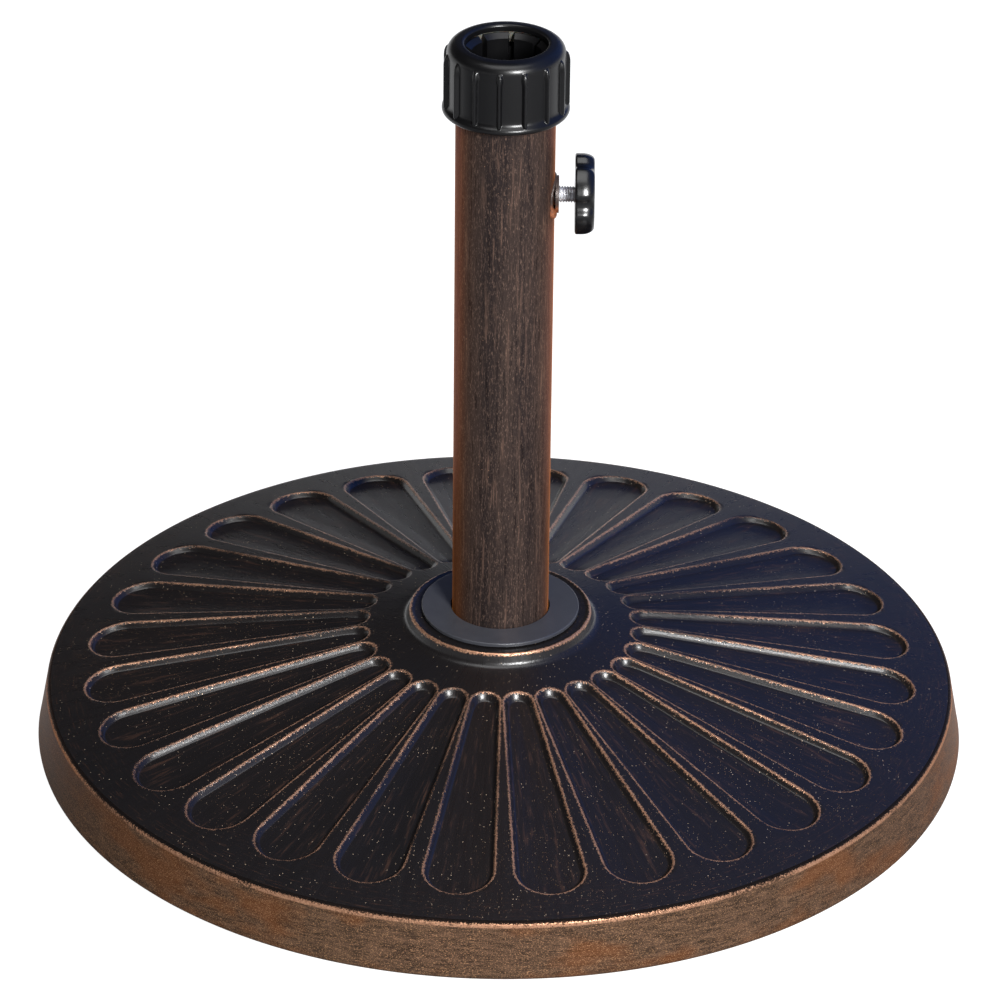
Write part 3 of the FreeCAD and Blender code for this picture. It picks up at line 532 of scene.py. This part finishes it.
def tone(red, green, blue):
    """A colour given in display values from 0 to 255, as linear values and an alpha of 1."""
    scaled = [channel / 255 for channel in (red, green, blue)]
    return tuple(c / 12.92 if c < 0.04045 else ((c + 0.055) / 1.055) ** 2.4 for c in scaled) + (1.0,)


class Nodes:
    """Short calls that add nodes to a tree. A value is a constant or another node's output."""

    def __init__(self, tree, coordinates):
        self.tree = tree
        self.place = self.add("TexCoord").outputs[coordinates]

    def add(self, kind):
        """A new node of this kind."""
        return self.tree.nodes.new("ShaderNode" + kind)

    def give(self, socket, value):
        """Put a value into a socket."""
        if isinstance(value, bpy.types.NodeSocket):
            self.tree.links.new(value, socket)
        else:
            socket.default_value = value

    def math(self, operation, *values):
        """One of the math node's operations."""
        node = self.add("Math")
        node.operation = operation
        for socket, value in zip(node.inputs, values):
            self.give(socket, value)
        return node.outputs[0]

    def plus(self, first, second):
        """The sum of two values."""
        return self.math("ADD", first, second)

    def times(self, first, second):
        """The product of two values."""
        return self.math("MULTIPLY", first, second)

    def rise(self, value, start, end):
        """0 at start and 1 at end, with a smooth rise between. Start may be the higher."""
        node = self.add("MapRange")
        node.interpolation_type = "SMOOTHSTEP"
        self.give(node.inputs["Value"], value)
        node.inputs["From Min"].default_value = start
        node.inputs["From Max"].default_value = end
        return node.outputs[0]

    def band(self, value, centre, half, soft):
        """1 within half of the centre, falling to 0 over the soft width."""
        away = self.math("ABSOLUTE", self.math("SUBTRACT", value, centre))
        return self.rise(away, half + soft, half)

    def mix(self, share, first, second):
        """The first colour where share is 0, and the second where it is 1."""
        node = self.add("Mix")
        node.data_type = "RGBA"
        self.give(node.inputs[0], share)
        self.give(node.inputs[6], first)
        self.give(node.inputs[7], second)
        return node.outputs[2]

    def axes(self):
        """X, Y and Z of the place."""
        node = self.add("SeparateXYZ")
        self.give(node.inputs[0], self.place)
        return node.outputs

    def from_axis(self):
        """Distance of the place from the Z axis."""
        x, y, _ = self.axes()
        return self.math("SQRT", self.plus(self.times(x, x), self.times(y, y)))

    def towards(self, direction):
        """How far the place lies in a direction."""
        node = self.add("VectorMath")
        node.operation = "DOT_PRODUCT"
        self.give(node.inputs[0], self.place)
        node.inputs[1].default_value = direction
        return node.outputs["Value"]


class Finish(Nodes):
    """A material, with calls for the patterns that the finishes share. Keywords set the shader's sockets."""

    def __init__(self, name, **sockets):
        self.material = bpy.data.materials.new(name)
        self.material.use_nodes = True
        super().__init__(self.material.node_tree, "Object")
        self.shader = self.tree.nodes["Principled BSDF"]
        for socket, value in sockets.items():
            self.into(socket.replace("_", " ").title(), value)

    def into(self, name, value):
        """Set one of the shader's own sockets, or drive it."""
        self.give(self.shader.inputs[name], value)

    def noise(self, scale, detail=2.0, roughness=0.5, vector=None):
        """Cloudy noise from 0 to 1."""
        node = self.add("TexNoise")
        self.give(node.inputs["Vector"], vector or self.place)
        node.inputs["Scale"].default_value = scale
        node.inputs["Detail"].default_value = detail
        node.inputs["Roughness"].default_value = roughness
        return node.outputs[0]

    def specks(self, scale, size, share):
        """Small round specks: one in some of the cells of this scale, of a size in cells."""
        node = self.add("TexVoronoi")
        self.give(node.inputs["Vector"], self.place)
        node.inputs["Scale"].default_value = scale
        picked = self.add("SeparateColor")
        self.give(picked.inputs[0], node.outputs["Color"])
        chosen = self.math("LESS_THAN", picked.outputs[0], share)
        return self.times(self.rise(node.outputs["Distance"], size, size * 0.6), chosen)

    def scaled(self, x, y, z):
        """The place with its three axes scaled, for streaks."""
        node = self.add("VectorMath")
        node.operation = "MULTIPLY"
        self.give(node.inputs[0], self.place)
        node.inputs[1].default_value = (x, y, z)
        return node.outputs[0]

    def polar(self, turn, outward, upward):
        """A vector that changes by turn round the Z axis, by outward with radius and by upward with Z."""
        x, y, z = self.axes()
        radius = self.from_axis()
        node = self.add("CombineXYZ")
        self.give(node.inputs["X"], self.times(self.math("DIVIDE", x, radius), turn))
        self.give(node.inputs["Y"], self.times(self.math("DIVIDE", y, radius), turn))
        self.give(node.inputs["Z"], self.plus(self.times(radius, outward), self.times(z, upward)))
        return node.outputs[0]

    def attribute(self, name):
        """A value that the mesh holds at each of its points."""
        node = self.add("Attribute")
        node.attribute_name = name
        return node.outputs["Fac"]

    def bump(self, height, depth):
        """Relief of this depth, in metres, from a height of 0 to 1."""
        node = self.add("Bump")
        node.inputs["Distance"].default_value = depth
        self.give(node.inputs["Height"], height)
        self.into("Normal", node.outputs[0])


def copper_wear_and_highlight(finish):
    """The copper that shows where the lacquer is rubbed through; on the rim's upper edge it also serves as a
    painted highlight.
    """
    return finish.mix(finish.noise(700, 2.0), tone(122, 82, 62), tone(214, 166, 134))


def crown_bronze():
    """Black lacquer over bronze: copper on the flutes' edges, brushed floors and bright flecks."""
    finish = Finish("crown_bronze")
    height = finish.axes()["Z"]
    radius = finish.from_axis()
    distance = finish.attribute("flute_distance")
    grain = finish.noise(900, 3.0, 0.7)
    patches = finish.noise(14, 2.0)

    # Copper along the flutes' outlines and on the boss's bead, jagged and uneven in strength.
    jagged = finish.times(finish.math("SUBTRACT", grain, 0.5), 3.4)
    near_edge = finish.plus(distance, jagged)
    strength = finish.rise(finish.plus(finish.noise(2300, 2.0, 0.7), patches), 0.82, 1.14)
    flute_line = finish.times(finish.band(near_edge, 0.2, 0.14, 0.6), strength)
    shifted = finish.plus(radius, finish.times(jagged, MM))
    boss_line = finish.band(shifted, BEAD_RADIUS * MM, 0.0002, 0.0006)
    boss_line = finish.times(boss_line, finish.rise(height, 0.0655, 0.0662))
    lines = finish.math("MAXIMUM", flute_line, boss_line)

    # Brush marks that run outwards on the floors, with flecks and dust over all.
    radial = finish.noise(1.0, 3.0, 0.6, finish.polar(70, 60, 60))
    floor = finish.rise(distance, -0.5, -3.0)
    brushed = finish.times(finish.rise(radial, 0.54, 0.78), finish.times(floor, 0.4))
    flecks = finish.specks(460, 0.13, 0.55)
    flecks = finish.times(flecks, finish.rise(finish.noise(45, 2.0), 0.42, 0.62))
    dust = finish.times(finish.specks(1000, 0.2, 0.3), finish.rise(patches, 0.4, 0.6))

    # Brush marks that run round near the rim.
    swept = finish.rise(finish.noise(1.0, 4.0, 0.7, finish.polar(16, 1500, 0)), 0.56, 0.72)
    swept = finish.times(swept, finish.times(finish.rise(radius, 0.188, 0.222), 0.55))

    ground = finish.mix(patches, tone(13, 13, 15), tone(23, 19, 18))
    ground = finish.mix(finish.math("MAXIMUM", brushed, swept), ground, tone(74, 50, 38))
    ground = finish.mix(finish.times(dust, 0.6), ground, tone(150, 118, 92))
    colour = finish.mix(lines, ground, copper_wear_and_highlight(finish))
    finish.into("Base Color", finish.mix(flecks, colour, tone(226, 200, 172)))
    finish.into("Metallic", finish.times(finish.math("MAXIMUM", lines, flecks), 0.75))
    finish.into("Roughness", finish.plus(0.2, finish.times(radial, 0.2)))
    brush_marks = finish.times(radial, finish.plus(0.15, finish.times(floor, 0.7)))
    relief = finish.plus(finish.times(grain, 0.7), brush_marks)
    finish.bump(finish.plus(relief, finish.times(lines, 0.8)), 0.00009)
    return finish.material


def rim_bronze():
    """The rim: brown bronze brushed round, gold glitter, and on its upper edge a line of rubbed copper and
    painted highlight.
    """
    finish = Finish("rim_bronze", sheen_weight=0.12, sheen_roughness=0.3, sheen_tint=tone(214, 132, 60))
    finish.into("Specular IOR Level", 0.06)
    finish.into("Specular Tint", tone(200, 136, 80))
    height = finish.axes()["Z"]
    radius = finish.from_axis()

    # The bright line on the rounded upper edge: partly rubbed-through copper, partly a painted highlight.
    grain = finish.noise(1500, 3.0, 0.7)
    shifted = finish.plus(radius, finish.times(finish.math("SUBTRACT", grain, 0.5), 0.0024))
    rubbed_and_highlight_line = finish.band(shifted, 0.2238, 0.00005, 0.0005)
    rubbed_and_highlight_line = finish.times(rubbed_and_highlight_line, finish.rise(height, 0.0272, 0.0282))
    wear = finish.rise(finish.plus(finish.noise(30, 3.0), finish.noise(1100)), 0.76, 1.06)
    rubbed_and_highlight_line = finish.times(rubbed_and_highlight_line, wear)

    # Brush marks that run round, with brown clouds and glitter.
    sweep = finish.noise(1.0, 4.0, 0.72, finish.polar(26, 600, 900))
    clouds = finish.noise(1.0, 3.0, 0.6, finish.polar(4, 30, 45))
    glitter = finish.rise(finish.noise(1.0, 2.0, 0.7, finish.polar(300, 2600, 3600)), 0.52, 0.7)
    rim = finish.mix(finish.rise(sweep, 0.36, 0.64), tone(43, 34, 28), tone(76, 58, 46))
    rim = finish.mix(finish.times(finish.rise(clouds, 0.48, 0.66), 0.55), rim, tone(88, 50, 25))
    rim = finish.mix(finish.times(glitter, 0.5), rim, tone(190, 145, 106))
    on_side = finish.rise(finish.plus(radius, finish.times(height, -0.25)), 0.2158, 0.2174)
    ground = finish.mix(on_side, tone(16, 14, 14), rim)
    # The upper edge's line paints a highlight as well as worn copper.
    finish.into("Base Color", finish.mix(rubbed_and_highlight_line, ground, copper_wear_and_highlight(finish)))
    shine = finish.math("MAXIMUM", rubbed_and_highlight_line, finish.times(glitter, 0.8))
    finish.into("Metallic", finish.times(shine, 0.7))
    finish.into("Roughness", finish.plus(0.3, finish.times(sweep, 0.2)))
    finish.bump(finish.plus(sweep, finish.times(glitter, 0.5)), 0.00008)
    return finish.material


def tube_bronze():
    """Dark bronze tube paint with brushed vertical streaks and copper flecks."""
    finish = Finish("tube_bronze", sheen_weight=0.65, sheen_roughness=0.3, sheen_tint=tone(228, 134, 58))
    finish.into("Roughness", 0.42)
    finish.into("Specular IOR Level", 0.04)
    finish.into("Specular Tint", tone(236, 160, 80))
    streak = finish.noise(1.0, 4.0, 0.7, finish.scaled(650, 650, 38))
    broad = finish.noise(1.0, 2.0, 0.5, finish.scaled(95, 95, 7))
    fine = finish.noise(1.0, 3.0, 0.75, finish.scaled(2100, 2100, 420))
    ground = finish.mix(finish.rise(broad, 0.36, 0.64), tone(42, 37, 37), tone(57, 48, 45))
    ground = finish.mix(finish.rise(streak, 0.52, 0.72), ground, tone(92, 73, 64))
    ground = finish.mix(finish.rise(streak, 0.46, 0.32), ground, tone(32, 28, 28))
    ground = finish.mix(finish.times(finish.rise(fine, 0.52, 0.72), 0.6), ground, tone(134, 109, 95))
    flecks = finish.times(finish.specks(620, 0.15, 0.14), finish.rise(finish.noise(60), 0.5, 0.66))
    finish.into("Base Color", finish.mix(flecks, ground, tone(166, 128, 100)))
    finish.into("Metallic", finish.plus(0.42, finish.times(flecks, 0.3)))
    finish.bump(finish.plus(streak, fine), 0.00006)
    return finish.material


def satin_charcoal():
    """The cover ring's smooth charcoal paint."""
    finish = Finish("satin_charcoal")
    mottle = finish.noise(160, 4.0, 0.6)
    finish.into("Base Color", finish.mix(mottle, tone(45, 46, 51), tone(56, 57, 62)))
    finish.into("Roughness", finish.plus(0.3, finish.times(mottle, 0.16)))
    finish.bump(finish.noise(1400, 3.0, 0.6), 0.00003)
    return finish.material


def moulded_black(name, roughness, gloss, grain_depth):
    """Black moulded plastic with a fine spark-eroded grain and faint flow marks."""
    finish = Finish(name)
    finish.into("Specular IOR Level", gloss)
    flow = finish.noise(38, 3.0, 0.6)
    grain = finish.noise(2600, 2.0, 0.6)
    finish.into("Base Color", finish.mix(flow, tone(6, 6, 7), tone(11, 11, 12)))
    finish.into("Roughness", finish.plus(roughness - 0.05, finish.times(flow, 0.1)))
    finish.bump(grain, grain_depth)
    return finish.material


def zinc_plate():
    """Bright zinc plating: a cool mottled silver with turning marks round the screw."""
    finish = Finish("zinc_plate", metallic=0.7)
    spangle = finish.noise(420, 3.0, 0.6)
    finish.into("Base Color", finish.mix(spangle, tone(206, 208, 218), tone(240, 240, 240)))
    finish.into("Roughness", finish.plus(0.26, finish.times(spangle, 0.2)))
    finish.bump(finish.noise(1.0, 2.0, 0.5, finish.scaled(5200, 260, 260)), 0.00002)
    return finish.material


def weld_paint():
    """Dark paint over the nut and weld, thin enough for the weld's copper brown to show."""
    finish = Finish("weld_paint", roughness=0.38)
    _, y, z = finish.axes()
    scale = finish.noise(520, 4.0, 0.65)
    thin = finish.times(finish.rise(y, 0.001, -0.006), finish.rise(z, 0.2935, 0.2885))
    thin = finish.times(thin, finish.rise(scale, 0.32, 0.6))
    paint = finish.mix(scale, tone(34, 31, 31), tone(78, 64, 58))
    finish.into("Base Color", finish.mix(thin, paint, tone(176, 108, 72)))
    finish.into("Metallic", finish.plus(0.3, finish.times(thin, 0.35)))
    finish.bump(scale, 0.0004)
    return finish.material


def nylon():
    """Natural nylon: milky, slightly mottled and translucent at thin places."""
    finish = Finish("nylon", roughness=0.45, subsurface_weight=0.2, subsurface_scale=0.002)
    mottle = finish.noise(240, 4.0, 0.6)
    finish.into("Base Color", finish.mix(mottle, tone(84, 81, 74), tone(108, 104, 96)))
    finish.bump(finish.noise(1800, 2.0), 0.00003)
    return finish.material


def rubber():
    """Dull black rubber, dusty, with an open grain."""
    finish = Finish("rubber")
    dust = finish.noise(90, 4.0, 0.65)
    finish.into("Base Color", finish.mix(dust, tone(18, 18, 19), tone(50, 48, 46)))
    finish.into("Roughness", finish.plus(0.72, finish.times(dust, 0.2)))
    finish.bump(finish.noise(1300, 4.0, 0.7), 0.00015)
    return finish.material


def pale_floor():
    """White studio paper. Reflections find it bright behind the base and dim in front of it."""
    finish = Finish("pale_floor", roughness=0.9)
    fibre = finish.noise(60, 3.0)
    finish.into("Base Color", finish.mix(fibre, tone(118, 118, 118), tone(126, 126, 126)))
    seen = finish.add("LightPath").outputs["Is Camera Ray"]
    behind = finish.rise(finish.axes()["Y"], -0.2, 0.3)
    finish.into("Emission Color", (1, 1, 1, 1))
    finish.into("Emission Strength", finish.math("MAXIMUM", seen, behind))
    return finish.material


# ---------------------------------------------------------------- studio

# Angles are in radians. They are taken from a line that runs from the object's foot to the camera.
CAMERA_DISTANCE = 2.65433
CAMERA_FOOT = 0.002  # the height where the line starts
CAMERA_RISE = 0.55086  # the line's angle above the floor
CAMERA_LIFT = 0.0413974  # how far the camera looks above the line
CAMERA_TURN = 0.000264
CAMERA_ROLL = 0.01127
CAMERA_LENS = 191.66
FLOOR_RADIUS = 9000.0


def add_camera():
    """A long lens, looking down on the base from the front."""
    data = bpy.data.cameras.new("camera")
    data.lens = CAMERA_LENS
    data.sensor_width = 36.0
    camera = bpy.data.objects.new("camera", data)
    bpy.context.scene.collection.objects.link(camera)
    back = CAMERA_DISTANCE * math.cos(CAMERA_RISE)
    up = CAMERA_DISTANCE * math.sin(CAMERA_RISE)
    camera.location = (0, -back, up + CAMERA_FOOT)
    camera.rotation_mode = "QUATERNION"
    level = Quaternion((1, 0, 0), math.pi / 2 - CAMERA_RISE)
    turned = level @ Quaternion((0, 1, 0), CAMERA_TURN)
    lifted = turned @ Quaternion((1, 0, 0), CAMERA_LIFT)
    camera.rotation_quaternion = lifted @ Quaternion((0, 0, 1), CAMERA_ROLL)
    bpy.context.scene.camera = camera


def add_softbox(name, place, target, width, height, power):
    """A rectangular area light that faces a point."""
    data = bpy.data.lights.new(name, "AREA")
    data.shape = "RECTANGLE"
    data.size = width
    data.size_y = height
    data.energy = power
    light = bpy.data.objects.new(name, data)
    bpy.context.scene.collection.objects.link(light)
    light.location = place
    light.rotation_mode = "QUATERNION"
    light.rotation_quaternion = (Vector(target) - Vector(place)).to_track_quat("-Z", "Y")


def add_floor():
    """A wide round sheet of pale paper under the base."""
    angles = round_angles(96)
    points = around_z(np.full(len(angles), FLOOR_RADIUS), angles, np.zeros(len(angles)))
    floor = new_piece("floor", points, [list(range(len(angles)))])
    floor.data.materials.append(pale_floor())


def add_world():
    """A dim studio: pale along the floor, dark overhead, and blue-black to the back right."""
    world = bpy.data.worlds.new("studio")
    world.use_nodes = True
    bpy.context.scene.world = world
    sky = Nodes(world.node_tree, "Generated")
    to_blue = sky.rise(sky.towards((0.89, 0.37, 0.27)), 0.3, 0.9)
    upper = sky.mix(to_blue, (0.035, 0.032, 0.032, 1), (0.05, 0.14, 0.52, 1))
    to_upper = sky.rise(sky.axes()["Z"], 0.06, 0.125)
    colour = sky.mix(to_upper, (0.95, 0.95, 0.95, 1), upper)
    sky.give(sky.tree.nodes["Background"].inputs["Color"], colour)


def add_lights():
    """One compact key beside the camera, and a broad soft light overhead."""
    add_softbox("key", (0.85, -2.1, 1.42), (0, 0, 0.15), 0.5, 0.7, 135)
    add_softbox("overhead", (0, -0.7, 3.2), (0, 0, 0), 2.6, 1.8, 50)


# ---------------------------------------------------------------- assembly


def place_piece(piece, slot, body, *nodes):
    """Ride a piece on its body and let it stand for its CAD nodes. The slot is not used."""
    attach(piece, body)
    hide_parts(*nodes)


def painted(piece, material):
    """The piece, with one material all over."""
    piece.data.materials.append(material)
    return piece


def paint_nodes(material, *names):
    """Give a finish to CAD nodes that keep their own shape."""
    for name in names:
        for slot in NODES[name].material_slots:
            slot.material = material


def build():
    """The new pieces on their bodies, and the finishes of the CAD nodes that stay."""
    satin = moulded_black("satin_black", 0.3, 0.36, 0.00001)
    gloss = moulded_black("gloss_black", 0.24, 0.5, 0.000005)
    zinc = zinc_plate()
    painted_weld = weld_paint()
    milky = nylon()
    place_piece(make_plate(), "cast_bronze", "stand", "base_plate")
    place_piece(painted(make_weld(), painted_weld), "weld_paint", "stand", "nut_weld")
    place_piece(painted(make_cap(), satin), "satin_black", "cap", "twist_cap")
    place_piece(painted(make_knob(), gloss), "gloss_black", "thumb_screw", "knob")
    place_piece(painted(make_stud(), zinc), "zinc_steel", "thumb_screw", "clamp_stud")
    paint_nodes(tube_bronze(), "tube")
    paint_nodes(satin_charcoal(), "flange_ring")
    paint_nodes(painted_weld, "clamp_nut", "foot_weld")
    paint_nodes(satin, "threaded_collar", "pole_sleeve")
    paint_nodes(gloss, "knob_plug")
    paint_nodes(milky, "clamp_shoe", "wedge_ring")
    paint_nodes(rubber(), "foot_pads", "flange_gasket")
    paint_nodes(zinc, "tube_foot_plate", "foot_nut", "anchor_bolt", "collar_screws")
    paint_nodes(zinc, "anchor_washer", "spring_washer")


build()
add_camera()
add_floor()
add_world()
add_lights()
bpy.context.scene.view_settings.view_transform = "Standard"
